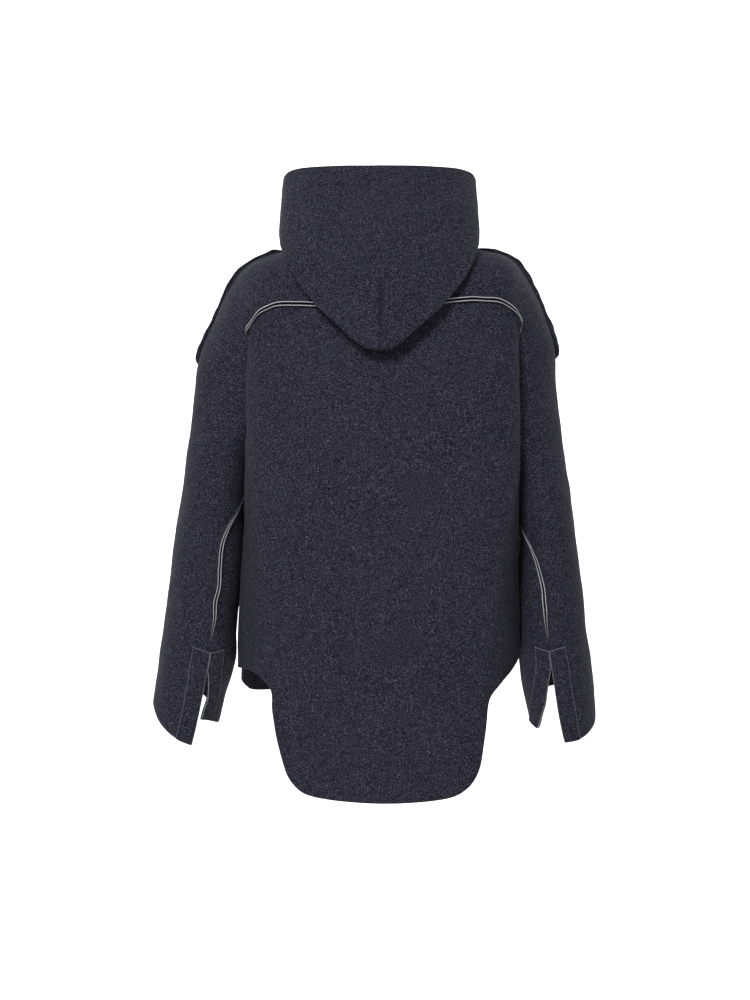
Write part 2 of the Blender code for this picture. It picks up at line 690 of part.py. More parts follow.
def main():
    for old in list(bpy.data.objects):
        bpy.data.objects.remove(old)
    collection = bpy.data.collections.new("anorak")
    bpy.context.scene.collection.children.link(collection)

    def felt(piece):
        return felt_material("felt_" + piece, FELT if "facing" not in piece else FELT_DARK)

    make_body_panel("back", yoke_top(), back_edge, YOKE_END, BACK_HEM, 1, felt("back"), collection)
    make_body_panel("front", shoulder_top(), front_edge, SHOULDER_END, FRONT_HEM, -1, felt("front"), collection)
    make_hood(felt("hood"), collection)
    for side, label in ((1, "left"), (-1, "right")):
        make_sleeve(side, "sleeve_" + label, felt("sleeve_" + label), collection)
        for half in ("outer", "inner"):
            name = f"cuff_facing_{label}_{half}"
            make_facing(side, half, name, felt(name), collection)


main()
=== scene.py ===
import math

import bpy
import numpy as np
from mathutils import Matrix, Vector


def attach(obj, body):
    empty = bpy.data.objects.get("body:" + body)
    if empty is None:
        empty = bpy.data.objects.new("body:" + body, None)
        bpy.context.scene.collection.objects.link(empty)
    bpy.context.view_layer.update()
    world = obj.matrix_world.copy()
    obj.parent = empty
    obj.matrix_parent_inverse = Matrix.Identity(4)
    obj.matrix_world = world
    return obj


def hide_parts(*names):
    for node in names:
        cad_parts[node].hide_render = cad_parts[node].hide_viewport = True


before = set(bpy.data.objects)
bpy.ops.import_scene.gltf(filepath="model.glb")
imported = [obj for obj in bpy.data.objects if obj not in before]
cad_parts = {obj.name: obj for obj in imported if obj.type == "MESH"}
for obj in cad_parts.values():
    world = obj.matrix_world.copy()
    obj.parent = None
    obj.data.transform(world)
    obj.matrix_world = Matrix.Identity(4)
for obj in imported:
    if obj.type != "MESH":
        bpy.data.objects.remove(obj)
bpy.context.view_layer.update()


# ---- small maths

def unitOf(vectors):
    return vectors / np.maximum(np.linalg.norm(vectors, axis=-1, keepdims=True), 1e-12)


def ease(value):
    value = np.clip(value, 0.0, 1.0)
    return value * value * (3 - 2 * value)


def signedPower(value, exponent):
    return np.sign(value) * np.abs(value) ** exponent


def curveThrough(rows, place):
    # smooth curve through table rows, read at fractional row numbers
    table = np.asarray(rows, dtype=float)
    last = len(table) - 1
    place = np.clip(np.asarray(place, dtype=float), 0, last)
    index = np.minimum(place.astype(int), last - 1)
    share = (place - index)[..., None]
    before, start = table[np.maximum(index - 1, 0)], table[index]
    end, after = table[index + 1], table[np.minimum(index + 2, last)]
    leave, arrive = (end - before) / 2, (after - start) / 2
    square, cube = share ** 2, share ** 3
    return ((2 * cube - 3 * square + 1) * start + (cube - 2 * square + share) * leave
            + (3 * square - 2 * cube) * end + (cube - square) * arrive)


def curveAt(rows, key):
    # the same, read at values of the first column
    table = np.asarray(rows, dtype=float)
    if table[0, 0] > table[-1, 0]:
        table = table[::-1]
    place = np.interp(key, table[:, 0], np.arange(len(table)))
    return curveThrough(table[:, 1:], place)


def softWaves(points, size, seed, count=7):
    # gentle, uneven swelling that is the same wherever two pieces meet
    draw = np.random.default_rng(seed)
    total = np.zeros(points.shape[:-1])
    for _ in range(count):
        heading = unitOf(draw.normal(size=3)) * 2 * math.pi / (size * draw.uniform(0.7, 1.5))
        total += np.sin(points @ heading + draw.uniform(0, 2 * math.pi))
    return total / math.sqrt(count)


# ---- cloth

cloth = {
    "thickness": 0.0022,
    "seamGap": 0.0003,         # distance between two pieces at a seam
    "armholeGap": 0.0005,
    "lipHeight": 0.0058,       # raw allowance that stands outward at a seam
    "lipSpread": 0.0050,       # distance between the middles of its two edges
    "lipFoot": 0.0027,
    "lipZone": 0.0055,         # the panel's grid starts this far from a seam with a lip
    "lipUneven": 0.16,         # the raw edge is cut this unevenly
    "lipLean": 0.0009,         # the two edges lean to and fro by this much
    "swell": 0.0011,           # gentle swelling of worn felt
    "swellSize": 0.16,
    "ripple": 0.00028,
    "rippleSize": 0.035,
}

# Soft troughs (below 0) and ridges (above 0) where the cloth bends. line: x and z along
# the fold; width: half width; deep: how far the cloth moves; near: smallest y it reaches.
creases = {
    "back": [
        {"line": [(0.203, -0.628), (0.180, -0.633), (0.158, -0.642), (0.140, -0.655)], "width": 0.014,
         "deep": 0.0040, "near": 0.02},
        {"line": [(0.196, -0.645), (0.180, -0.652), (0.165, -0.664)],
         "width": 0.012, "deep": -0.0080, "near": 0.02},
        {"line": [(-0.118, -0.600), (-0.137, -0.640), (-0.156, -0.672)],
         "width": 0.020, "deep": -0.0055, "near": 0.02},
        {"line": [(-0.196, -0.560), (-0.190, -0.610), (-0.176, -0.648)],
         "width": 0.020, "deep": 0.0030, "near": 0.02},
        {"line": [(0.150, -0.160), (0.120, -0.220), (0.100, -0.300)],
         "width": 0.050, "deep": 0.0022, "near": 0.02},
        {"line": [(-0.160, -0.170), (-0.130, -0.240), (-0.105, -0.330)],
         "width": 0.050, "deep": 0.0020, "near": 0.02},
        {"line": [(0.060, -0.420), (0.030, -0.540), (0.035, -0.680)],
         "width": 0.060, "deep": -0.0022, "near": 0.02},
        {"line": [(-0.060, -0.380), (-0.075, -0.500), (-0.060, -0.640)],
         "width": 0.055, "deep": -0.0018, "near": 0.02},
    ],
    "sleeve": [
        {"line": [(0.222, -0.040), (0.208, -0.070), (0.196, -0.100)],
         "width": 0.013, "deep": -0.0050, "near": 0.0},
        {"line": [(-0.216, -0.026), (-0.213, -0.060), (-0.210, -0.098)],
         "width": 0.013, "deep": -0.0045, "near": 0.0},
        {"line": [(0.262, -0.190), (0.235, -0.250), (0.215, -0.320)],
         "width": 0.026, "deep": -0.0030, "near": 0.0},
        {"line": [(-0.262, -0.190), (-0.240, -0.260), (-0.224, -0.350)],
         "width": 0.024, "deep": -0.0032, "near": 0.0},
        {"line": [(0.300, -0.380), (0.268, -0.420), (0.245, -0.470)],
         "width": 0.024, "deep": -0.0028, "near": 0.0},
        {"line": [(-0.298, -0.410), (-0.272, -0.450), (-0.250, -0.500)],
         "width": 0.022, "deep": -0.0026, "near": 0.0},
        {"line": [(0.322, -0.560), (0.300, -0.590), (0.275, -0.600)],
         "width": 0.020, "deep": -0.0022, "near": -0.1},
        {"line": [(-0.312, -0.560), (-0.292, -0.590), (-0.270, -0.602)],
         "width": 0.020, "deep": -0.0024, "near": -0.1},
    ],
    "front": [
        {"line": [(0.150, -0.170), (0.110, -0.260), (0.090, -0.360)],
         "width": 0.045, "deep": -0.0024, "near": -0.3},
        {"line": [(-0.150, -0.170), (-0.110, -0.260), (-0.085, -0.350)],
         "width": 0.045, "deep": -0.0024, "near": -0.3},
        {"line": [(0.060, -0.420), (0.075, -0.520), (0.060, -0.640)],
         "width": 0.040, "deep": -0.0020, "near": -0.3},
        {"line": [(-0.080, -0.440), (-0.070, -0.540), (-0.085, -0.640)],
         "width": 0.040, "deep": -0.0022, "near": -0.3},
    ],
    "hood": [
        {"line": [(0.120, 0.020), (0.060, -0.002), (0.000, -0.006), (-0.060, -0.002), (-0.120, 0.020)],
         "width": 0.030, "deep": -0.0030, "near": 0.03},
        {"line": [(0.125, 0.055), (0.060, 0.040), (0.000, 0.036), (-0.060, 0.040), (-0.125, 0.055)],
         "width": 0.024, "deep": 0.0030, "near": 0.03},
    ],
}


def creaseDepth(points, folds):
    # how far each point moves outward because of the folds near it
    moved = np.zeros(points.shape[:-1])
    flat = points[..., (0, 2)]
    for fold in folds:
        line = np.array(fold["line"])
        spans = np.linalg.norm(np.diff(line, axis=0), axis=1)
        before = np.concatenate([[0], np.cumsum(spans)])
        best = np.full(flat.shape[:-1], 9.0)
        along = np.zeros(flat.shape[:-1])
        for k, span in enumerate(spans):
            heading = (line[k + 1] - line[k]) / span
            run = np.clip((flat - line[k]) @ heading, 0, span)
            away = np.linalg.norm(flat - line[k] - run[..., None] * heading, axis=-1)
            closer = away < best
            best = np.where(closer, away, best)
            along = np.where(closer, (before[k] + run) / before[-1], along)
        fade = np.sin(math.pi * np.clip(0.12 + 0.76 * along, 0, 1)) ** 0.7
        side = ease((points[..., 1] - fold["near"]) / 0.02)
        moved += fold["deep"] * fade * side * np.exp(-(best / fold["width"]) ** 2)
    return moved


def gridNormals(points, outward):
    rowsStep = np.gradient(points, axis=0)
    columnsStep = np.gradient(points, axis=1)
    normals = unitOf(np.cross(rowsStep, columnsStep))
    middle = tuple(size // 2 for size in points.shape[:2])
    if np.dot(normals[middle], outward(points[middle])) < 0:
        normals = -normals
    return normals


def lastColumnView(edge, grid):
    # turn a grid so that one edge becomes its last column
    if edge == "top":
        grid = grid.swapaxes(0, 1)
    if edge in ("first", "top"):
        grid = grid[:, ::-1]
    return grid


def firstGridView(edge, grid):
    if edge in ("first", "top"):
        grid = grid[:, ::-1]
    if edge == "top":
        grid = grid.swapaxes(0, 1)
    return grid


def standingLip(outer, inner, normals, raw, heights, lean):
    # replace the last column by a raw, standing seam allowance
    edge, across = outer[:, -1], unitOf(outer[:, -2] - outer[:, -1])
    normal = normals[:, -1]
    full = np.clip(heights / cloth["lipHeight"], 0, 1)[:, None]
    across = unitOf(across - full * np.sum(across * normal, axis=1, keepdims=True) * normal)
    cut = 1 + cloth["lipUneven"] * softWaves(edge, 0.022, 11)
    tall = (heights * cut)[:, None]
    sway = np.stack([softWaves(edge, 0.045, 12), 0 * tall[:, 0], softWaves(edge, 0.045, 13)], axis=1)
    sway = (sway - np.sum(sway * normal, axis=1, keepdims=True) * normal) * cloth["lipLean"] * full
    leaning = unitOf(normal + np.asarray(lean))
    thick, gap = cloth["thickness"], cloth["seamGap"] / 2
    near = gap + full * (cloth["lipSpread"] - thick) / 2
    far = near + full * thick + (1 - full) * 0.0008
    foot = cloth["lipFoot"]

    def at(side, up, lean=0.0):
        rise = np.where(np.asarray(up) > 0, leaning, normal)
        return edge + across * side + rise * up + sway * lean

    outerRun = [
        at(foot + 0.0012 * full, 0),
        at(foot + (far - foot) * 0.6 * full - (1 - full) * 0.0008, tall * 0.16, 0.1),
        at(far, tall * 0.55, 0.5),
        at(far - full * thick * 0.12, tall * 0.93, 0.95),
        at(far - full * thick * 0.27, tall, 1.0),
    ]
    innerRun = [
        at(gap, -thick),
        at(gap + near * 0.1, -thick * 0.5 * (1 - full) - thick * 0.2 * full, 0.05),
        at(near * 0.9, tall * 0.45 - thick * 0.5 * (1 - full), 0.45),
        at(near + full * thick * 0.08, tall * 0.93 - thick * 0.4 * (1 - full), 0.95),
        at(near + full * thick * 0.27, tall - thick * 0.2 * (1 - full), 1.0),
    ]
    outer = np.concatenate([outer[:, :-1]] + [p[:, None] for p in outerRun], axis=1)
    inner = np.concatenate([inner[:, :-1]] + [p[:, None] for p in innerRun], axis=1)
    light = full[:, 0]
    rawRun = [0 * light, 0 * light, 0 * light, 0.02 * light, light]
    raw = np.concatenate([raw[:, :-1]] + [value[:, None] for value in rawRun], axis=1)
    normals = np.concatenate([normals[:, :-1]] + [normal[:, None]] * 5, axis=1)
    return outer, inner, normals, raw


def clothWalls(points, outward, seams, folds, thickness=None):
    thickness = thickness or cloth["thickness"]
    normals = gridNormals(points, outward)
    for edge, (facing, _, _) in seams.items():
        turned = lastColumnView(edge, normals)
        turned[:, -1] = np.where(np.isnan(facing), turned[:, -1], facing)
    moved = (cloth["swell"] * softWaves(points, cloth["swellSize"], 5)
             + cloth["ripple"] * softWaves(points, cloth["rippleSize"], 6, 12)
             + creaseDepth(points, folds))
    for edge, (facing, _, _) in seams.items():
        held = lastColumnView(edge, moved)
        held[:, -1] = np.where(np.isnan(facing[:, 0]), 0, held[:, -1])
    outer = points + normals * moved[..., None]
    fresh = gridNormals(outer, outward)
    for edge in seams:
        lastColumnView(edge, fresh)[:, -1] = lastColumnView(edge, normals)[:, -1]
    inner = outer - fresh * thickness
    normals, raw = fresh, np.zeros(points.shape[:2])
    # the last item is how far a plain edge stays back, or the way an allowance leans
    for edge, (_, heights, gaps) in seams.items():
        outer, inner, normals, raw = (lastColumnView(edge, g).copy() for g in (outer, inner, normals, raw))
        if heights is None:
            for layer in (outer, inner):
                layer[:, -1] += unitOf(layer[:, -2] - layer[:, -1]) * gaps
        else:
            outer, inner, normals, raw = standingLip(outer, inner, normals, raw, heights, gaps)
        outer, inner, normals, raw = (firstGridView(edge, g) for g in (outer, inner, normals, raw))
    return outer, inner, raw


def closedPiece(name, outer, inner, raw, material, node, ring=False):
    rows, columns = outer.shape[:2]
    spans = columns if ring else columns - 1
    index = np.arange(rows * columns).reshape(rows, columns)
    if ring:
        index = np.concatenate([index, index[:, :1]], axis=1)
    a, b = index[:-1, :spans], index[:-1, 1:spans + 1]
    c, d = index[1:, 1:spans + 1], index[1:, :spans]
    shift = rows * columns
    faces = [np.stack([a, b, c, d], axis=-1).reshape(-1, 4),
             np.stack([d, c, b, a], axis=-1).reshape(-1, 4) + shift]

    def rim(line, flip):
        quads = np.stack([line[:-1], line[:-1] + shift, line[1:] + shift, line[1:]], axis=-1)
        return quads[:, ::-1] if flip else quads

    faces += [rim(index[0, :spans + 1], False), rim(index[-1, :spans + 1], True)]
    if not ring:
        faces += [rim(index[:, 0], True), rim(index[:, -1], False)]
    faces = np.concatenate(faces)
    places = np.concatenate([outer.reshape(-1, 3), inner.reshape(-1, 3)])
    first, second, third = (places[faces[:, k]] for k in range(3))
    fourth = places[faces[:, 3]]
    volume = np.sum(first * np.cross(second, third)) + np.sum(first * np.cross(third, fourth))
    if volume < 0:
        faces = faces[:, ::-1]
    mesh = bpy.data.meshes.new(name + "_cloth")
    mesh.from_pydata(places.tolist(), [], faces.tolist())
    light = mesh.attributes.new("rawEdge", "FLOAT", "POINT")
    light.data.foreach_set("value", np.concatenate([raw.reshape(-1)] * 2).astype(np.float32))
    mesh.shade_smooth()
    mesh.set_sharp_from_angle(angle=math.radians(62))
    mesh.materials.append(material)
    piece = bpy.data.objects.new(name + "_cloth", mesh)
    bpy.context.scene.collection.objects.link(piece)
    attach(piece, "root")
    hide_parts(node)
    return piece


# ---- felted wool

felt = {
    "dark": (0.0022, 0.0021, 0.0050),
    "middle": (0.0200, 0.0192, 0.0325),
    "fleck": (0.125, 0.122, 0.155),
    "rawEdge": (0.36, 0.36, 0.38),
    "fibreScale": 760.0,
    "clumpScale": 540.0,
    "mottleScale": 9.0,
    "sheen": 0.02,
    "bump": 0.55,
    "bumpDistance": 0.0009,
}


def nodeGroup(name, inputs, outputs):
    group = bpy.data.node_groups.new(name, "ShaderNodeTree")
    for label, kind, value in inputs:
        socket = group.interface.new_socket(label, in_out="INPUT", socket_type=kind)
        if value is not None:
            socket.default_value = value
    for label, kind in outputs:
        group.interface.new_socket(label, in_out="OUTPUT", socket_type=kind)
    return group, group.nodes.new("NodeGroupInput"), group.nodes.new("NodeGroupOutput")


def feltGroup():
    group, given, out = nodeGroup(
        "feltedWool",
        [("Dark", "NodeSocketColor", None), ("Middle", "NodeSocketColor", None),
         ("Fleck", "NodeSocketColor", None),
         ("Fibre Scale", "NodeSocketFloat", 600), ("Clump Scale", "NodeSocketFloat", 200),
         ("Mottle Scale", "NodeSocketFloat", 9)],
        [("Colour", "NodeSocketColor"), ("Height", "NodeSocketFloat"), ("Rough", "NodeSocketFloat")],
    )
    nodes, links = group.nodes, group.links
    place = nodes.new("ShaderNodeTexCoord")

    def grain(scaleSocket, detail, roughness):
        texture = nodes.new("ShaderNodeTexNoise")
        texture.inputs["Detail"].default_value = detail
        texture.inputs["Roughness"].default_value = roughness
        links.new(place.outputs["Object"], texture.inputs["Vector"])
        links.new(given.outputs[scaleSocket], texture.inputs["Scale"])
        return texture.outputs["Fac"]

    def ramp(source, low, high):
        mapped = nodes.new("ShaderNodeMapRange")
        mapped.inputs["From Min"].default_value = low
        mapped.inputs["From Max"].default_value = high
        links.new(source, mapped.inputs["Value"])
        return mapped.outputs["Result"]

    def blend(amount, first, second):
        mix = nodes.new("ShaderNodeMix")
        mix.data_type = "RGBA"
        links.new(amount, mix.inputs["Factor"])
        links.new(first, mix.inputs["A"])
        links.new(second, mix.inputs["B"])
        return mix.outputs["Result"]

    def sumOf(first, second, weight):
        total = nodes.new("ShaderNodeMath")
        total.operation = "MULTIPLY_ADD"
        total.inputs[1].default_value = weight
        links.new(second, total.inputs[0])
        links.new(first, total.inputs[2])
        return total.outputs["Value"]

    fibre, clump, mottle = (grain("Fibre Scale", 2.0, 0.6), grain("Clump Scale", 3.0, 0.65),
                            grain("Mottle Scale", 3.0, 0.5))
    body = blend(ramp(clump, 0.42, 0.58), given.outputs["Dark"], given.outputs["Middle"])
    deep = blend(ramp(mottle, 0.30, 0.75), body, given.outputs["Middle"])
    softened = nodes.new("ShaderNodeMix")
    softened.data_type = "RGBA"
    softened.inputs["Factor"].default_value = 0.22
    links.new(body, softened.inputs["A"])
    links.new(deep, softened.inputs["B"])
    speck = nodes.new("ShaderNodeMath")
    speck.operation = "MULTIPLY"
    links.new(ramp(fibre, 0.53, 0.70), speck.inputs[0])
    links.new(ramp(clump, 0.42, 0.58), speck.inputs[1])
    coloured = blend(speck.outputs["Value"], softened.outputs["Result"], given.outputs["Fleck"])
    links.new(coloured, out.inputs["Colour"])
    links.new(sumOf(clump, fibre, 0.6), out.inputs["Height"])
    links.new(ramp(clump, -1.5, 0.9), out.inputs["Rough"])
    return group


feltedWool = feltGroup()


def feltMaterial(name, darker=1.0):
    material = bpy.data.materials.new(name)
    material.use_nodes = True
    nodes, links = material.node_tree.nodes, material.node_tree.links
    shader = nodes["Principled BSDF"]
    wool = nodes.new("ShaderNodeGroup")
    wool.node_tree = feltedWool
    for label, key in (("Dark", "dark"), ("Middle", "middle"), ("Fleck", "fleck")):
        wool.inputs[label].default_value = (*(channel * darker for channel in felt[key]), 1)
    scales = (("Fibre Scale", "fibreScale"), ("Clump Scale", "clumpScale"), ("Mottle Scale", "mottleScale"))
    for label, key in scales:
        wool.inputs[label].default_value = felt[key]
    edge = nodes.new("ShaderNodeAttribute")
    edge.attribute_name = "rawEdge"
    lighter = nodes.new("ShaderNodeMix")
    lighter.data_type = "RGBA"
    lighter.inputs["B"].default_value = (*felt["rawEdge"], 1)
    broken = nodes.new("ShaderNodeMath")
    broken.operation = "MULTIPLY"
    links.new(edge.outputs["Fac"], broken.inputs[0])
    links.new(wool.outputs["Height"], broken.inputs[1])
    links.new(broken.outputs["Value"], lighter.inputs["Factor"])
    links.new(wool.outputs["Colour"], lighter.inputs["A"])
    links.new(lighter.outputs["Result"], shader.inputs["Base Color"])
    links.new(wool.outputs["Rough"], shader.inputs["Roughness"])
    bump = nodes.new("ShaderNodeBump")
    bump.inputs["Strength"].default_value = felt["bump"]
    bump.inputs["Distance"].default_value = felt["bumpDistance"]
    links.new(wool.outputs["Height"], bump.inputs["Height"])
    links.new(bump.outputs["Normal"], shader.inputs["Normal"])
    shader.inputs["Sheen Weight"].default_value = felt["sheen"]
    shader.inputs["Sheen Roughness"].default_value = 0.55
    shader.inputs["Specular IOR Level"].default_value = 0.06
    return material


# ---- sleeves, each cut in one with its half of the yoke

# From the middle of the back over the shoulder and down to the cuff. mid: middle of the
# section in x and z; top: its outermost point; then middle and half depth in y; then the
# angles where the cloth starts at the front and ends at the back.
sleeveCut = {
    "sections": {
        1: (
            (0.000, -0.084, 0.000, 0.016, 0.000, 0.118, 40, 90),
            (0.048, -0.084, 0.046, 0.020, 0.000, 0.117, 33, 90),
            (0.095, -0.084, 0.092, 0.020, 0.000, 0.114, 4, 90),
            (0.142, -0.084, 0.151, -0.001, 0.000, 0.107, 0, 90),
            (0.163, -0.087, 0.182, -0.012, 0.000, 0.101, 0, 90),
            (0.182, -0.099, 0.207, -0.029, 0.000, 0.093, 0, 90),
            (0.194, -0.118, 0.228, -0.057, 0.000, 0.083, 0, 90),
            (0.192, -0.139, 0.246, -0.097, 0.000, 0.073, -2, 90),
            (0.194, -0.160, 0.272, -0.157, 0.000, 0.067, -6, 90),
            (0.197, -0.200, 0.281, -0.204, -0.001, 0.064, -58, 90),
            (0.212, -0.250, 0.287, -0.262, -0.003, 0.066, -100, 102),
            (0.240, -0.300, 0.294, -0.309, -0.005, 0.070, -145, 140),
            (0.2485, -0.347, 0.299, -0.350, -0.005, 0.073, -188, 172),
            (0.2565, -0.420, 0.309, -0.418, -0.011, 0.074, -243, 117),
            (0.263, -0.490, 0.318, -0.486, -0.014, 0.073, -249, 111),
            (0.272, -0.560, 0.327, -0.554, -0.016, 0.071, -249, 111),
            (0.2755, -0.605, 0.333, -0.598, -0.017, 0.069, -254.4, 105.6),
            (0.286, -0.655, 0.339, -0.646, -0.018, 0.067, -240.3, 106.1),
            (0.295, -0.700, 0.345, -0.690, -0.019, 0.066, -239.5, 103.1),
        ),
        -1: (
            (0.000, -0.084, 0.000, 0.016, 0.000, 0.118, 40, 90),
            (0.048, -0.082, 0.046, 0.020, 0.000, 0.117, 33, 90),
            (0.097, -0.080, 0.092, 0.020, 0.000, 0.114, 4, 90),
            (0.142, -0.076, 0.156, 0.005, 0.000, 0.107, 0, 90),
            (0.178, -0.079, 0.190, -0.004, 0.000, 0.100, 0, 90),
            (0.199, -0.089, 0.212, -0.020, 0.000, 0.092, 0, 90),
            (0.207, -0.108, 0.229, -0.048, 0.000, 0.082, 0, 90),
            (0.204, -0.132, 0.246, -0.086, 0.000, 0.073, -2, 90),
            (0.202, -0.158, 0.266, -0.143, 0.000, 0.067, -6, 90),
            (0.203, -0.205, 0.269, -0.208, -0.001, 0.064, -58, 90),
            (0.214, -0.262, 0.277, -0.272, -0.003, 0.066, -100, 100),
            (0.240, -0.330, 0.286, -0.336, -0.005, 0.071, -145, 133),
            (0.249, -0.385, 0.293, -0.386, -0.005, 0.074, -192, 168),
            (0.2565, -0.440, 0.301, -0.437, -0.010, 0.074, -232, 128),
            (0.2595, -0.500, 0.308, -0.497, -0.013, 0.072, -254.1, 105.9),
            (0.263, -0.560, 0.315, -0.556, -0.015, 0.070, -258.3, 101.7),
            (0.266, -0.605, 0.320, -0.600, -0.016, 0.068, -263, 97),
            (0.271, -0.655, 0.325, -0.650, -0.017, 0.066, -249, 93.3),
            (0.277, -0.700, 0.329, -0.695, -0.018, 0.065, -223, 89),
        ),
    },
    "roundness": 2.15,
    "neckSide": 2, "yokeEnd": 7, "shoulderEnd": 8, "underarm": 12, "slitTop": 16, "last": 18,
    "facingTop": 15.5,
    "frontValley": 10.5,        # below it sleeve and front face each other like a valley
    "hoodCovers": 2.6,
    "hornRise": 0.45,           # the shoulder allowance stands this much higher at its end
    "hornEnd": 8.15,
    # how far the two edges of the shoulder allowance lean towards the back
    "shoulderLean": {"sleeve": 1.1, "front": 0.35},
    "cuffBackDrop": 0.040,
    "cuffOuterRise": {1: 0.013, -1: -0.004},
    "cuffInnerLift": {1: 0.040, -1: 0.009},
    "rowsPerSection": 10,
    "columns": 84,
}


def sleevePoint(side, station, angle):
    station, angle = np.broadcast_arrays(np.asarray(station, float), np.asarray(angle, float))
    section = curveThrough(sleeveCut["sections"][side], station)
    midX, midZ, topX, topZ, midY, depth = (section[..., k] for k in range(6))
    turn = np.radians(angle)
    reach = signedPower(np.cos(turn), 2 / sleeveCut["roundness"])
    swing = signedPower(np.sin(turn), 2 / sleeveCut["roundness"])
    drop = -sleeveCut["cuffBackDrop"] * np.sin(turn) + sleeveCut["cuffOuterRise"][side] * np.cos(turn)
    lower = ease((station - sleeveCut["slitTop"] + 2) / 4)
    lift = (sleeveCut["cuffInnerLift"][side] * ease((-angle - 150) / 90)
            * ease((station - sleeveCut["slitTop"]) / 2))
    return np.stack([
        side * (midX + (topX - midX) * reach),
        midY + depth * swing,
        midZ + (topZ - midZ) * reach + drop * lower + lift,
    ], axis=-1)


def sleeveAngles(side, station):
    station = np.asarray(station, float)
    rows = np.array(sleeveCut["sections"][side])
    smooth = curveThrough(rows, station)
    front, back = smooth[..., 6], smooth[..., 7]
    front = np.where(station >= sleeveCut["underarm"], back - 360, front)
    straight = [np.interp(station, np.arange(len(rows)), rows[:, k]) for k in (6, 7)]
    low = station >= sleeveCut["slitTop"] - 1
    return np.where(low, straight[0], front), np.where(low, straight[1], back)


def backEdge(side, station):
    return sleevePoint(side, station, sleeveAngles(side, station)[1])


def frontEdge(side, station):
    return sleevePoint(side, station, sleeveAngles(side, station)[0])


def seamFacing(side, stations, edge):
    # directions in which a seam of the sleeve faces; nan where each piece keeps its own
    stations = np.asarray(stations, float)
    angle = sleeveAngles(side, stations)[0 if edge is frontEdge else 1]
    low, high = np.maximum(stations - 0.05, 0), np.minimum(stations + 0.05, sleeveCut["last"])
    along = sleevePoint(side, high, angle) - sleevePoint(side, low, angle)
    roundIt = sleevePoint(side, stations, angle + 2) - sleevePoint(side, stations, angle - 2)
    own = unitOf(np.cross(roundIt, along)) * -side
    zero = 0 * stations
    if edge is frontEdge:
        turned = ease((stations - sleeveCut["yokeEnd"] + 2) / 3)[:, None]
        lean = 0.6 * side * ease((stations - sleeveCut["frontValley"]) * 2 + 1)
        up = np.array((0.0, -0.85, 0.5)) / math.hypot(0.85, 0.5)
        facing = unitOf(own + up * (1 - turned) + np.stack([lean, zero, zero], axis=1))
        valley = sleeveCut["frontValley"]
    else:
        turned = ease((stations - sleeveCut["yokeEnd"] + 2) / 2)
        facing = unitOf(own + np.stack([side * 2.5 * turned, 1 - turned, zero], axis=1))
        valley = sleeveCut["yokeEnd"]
    facing[stations >= sleeveCut["underarm"]] = own[stations >= sleeveCut["underarm"]]
    facing[(stations > valley + 1e-6) & (stations < sleeveCut["underarm"] - 1e-6)] = np.nan
    return facing


def yokeLip(stations):
    return 1 - ease((stations - sleeveCut["yokeEnd"] + 1) * 0.8)


def shoulderLip(stations):
    horn = 1 + sleeveCut["hornRise"] * ease(stations - sleeveCut["shoulderEnd"] + 1)
    return ease((stations - sleeveCut["hoodCovers"]) * 1.6) * horn


def shoulderLean(stations, piece):
    # the allowance leans towards the back up to the end of the shoulder
    share = sleeveCut["shoulderLean"][piece] * (1 - 0.5 * ease((stations - sleeveCut["shoulderEnd"] + 2) / 2))
    return np.stack([0 * share, share, 0 * share], axis=-1)


def lipHeights(stations, edge):
    if edge is backEdge:
        shown = yokeLip(stations)
    else:
        shown = shoulderLip(stations) * (1 - ease((stations - sleeveCut["hornEnd"]) * 5))
    shown = np.maximum(shown, ease(stations - sleeveCut["underarm"]))
    return cloth["lipHeight"] * shown * (1 - ease(stations - sleeveCut["facingTop"] + 1))


def spread(count, firstStep, lastStep):
    # shares from 0 to 1 with a given first and last step
    inner = np.linspace(0, 1, count - 2)
    return np.concatenate([[0], firstStep + (1 - firstStep - lastStep) * inner, [1]])


def makeSleeve(side, name):
    stations = np.linspace(0, sleeveCut["last"], sleeveCut["last"] * sleeveCut["rowsPerSection"] + 1)
    front, back = sleeveAngles(side, stations)
    turns = front[:, None] + (back - front)[:, None] * np.linspace(0, 1, 40)
    coarse = sleevePoint(side, stations[:, None], turns)
    arcs = np.linalg.norm(np.diff(coarse, axis=1), axis=2).sum(axis=1)
    grid = []
    for row, station in enumerate(stations):
        zone = min(cloth["lipZone"] / arcs[row], 0.2)
        shares = spread(sleeveCut["columns"], zone, zone)
        grid.append(sleevePoint(side, station, front[row] + (back[row] - front[row]) * shares))
    grid = np.array(grid)
    grid[0, :, 0] = side * cloth["seamGap"] / 2
    seams = {
        "first": (seamFacing(side, stations, frontEdge), lipHeights(stations, frontEdge),
                  shoulderLean(stations, "sleeve")),
        "last": (seamFacing(side, stations, backEdge), lipHeights(stations, backEdge), (0, 0, 0)),
    }
    middle = np.array((side * 0.20, 0, -0.30))
    outer, inner, raw = clothWalls(grid, lambda p: p - middle, seams, creases["sleeve"])
    for layer in (outer, inner):
        layer[0, :, 0] = side * cloth["seamGap"] / 2
    raw[-1, :] = np.maximum(raw[-1, :], 0.15)
    return closedPiece(name, outer, inner, raw, feltMaterial("felt_" + name), name)


# ---- back and front

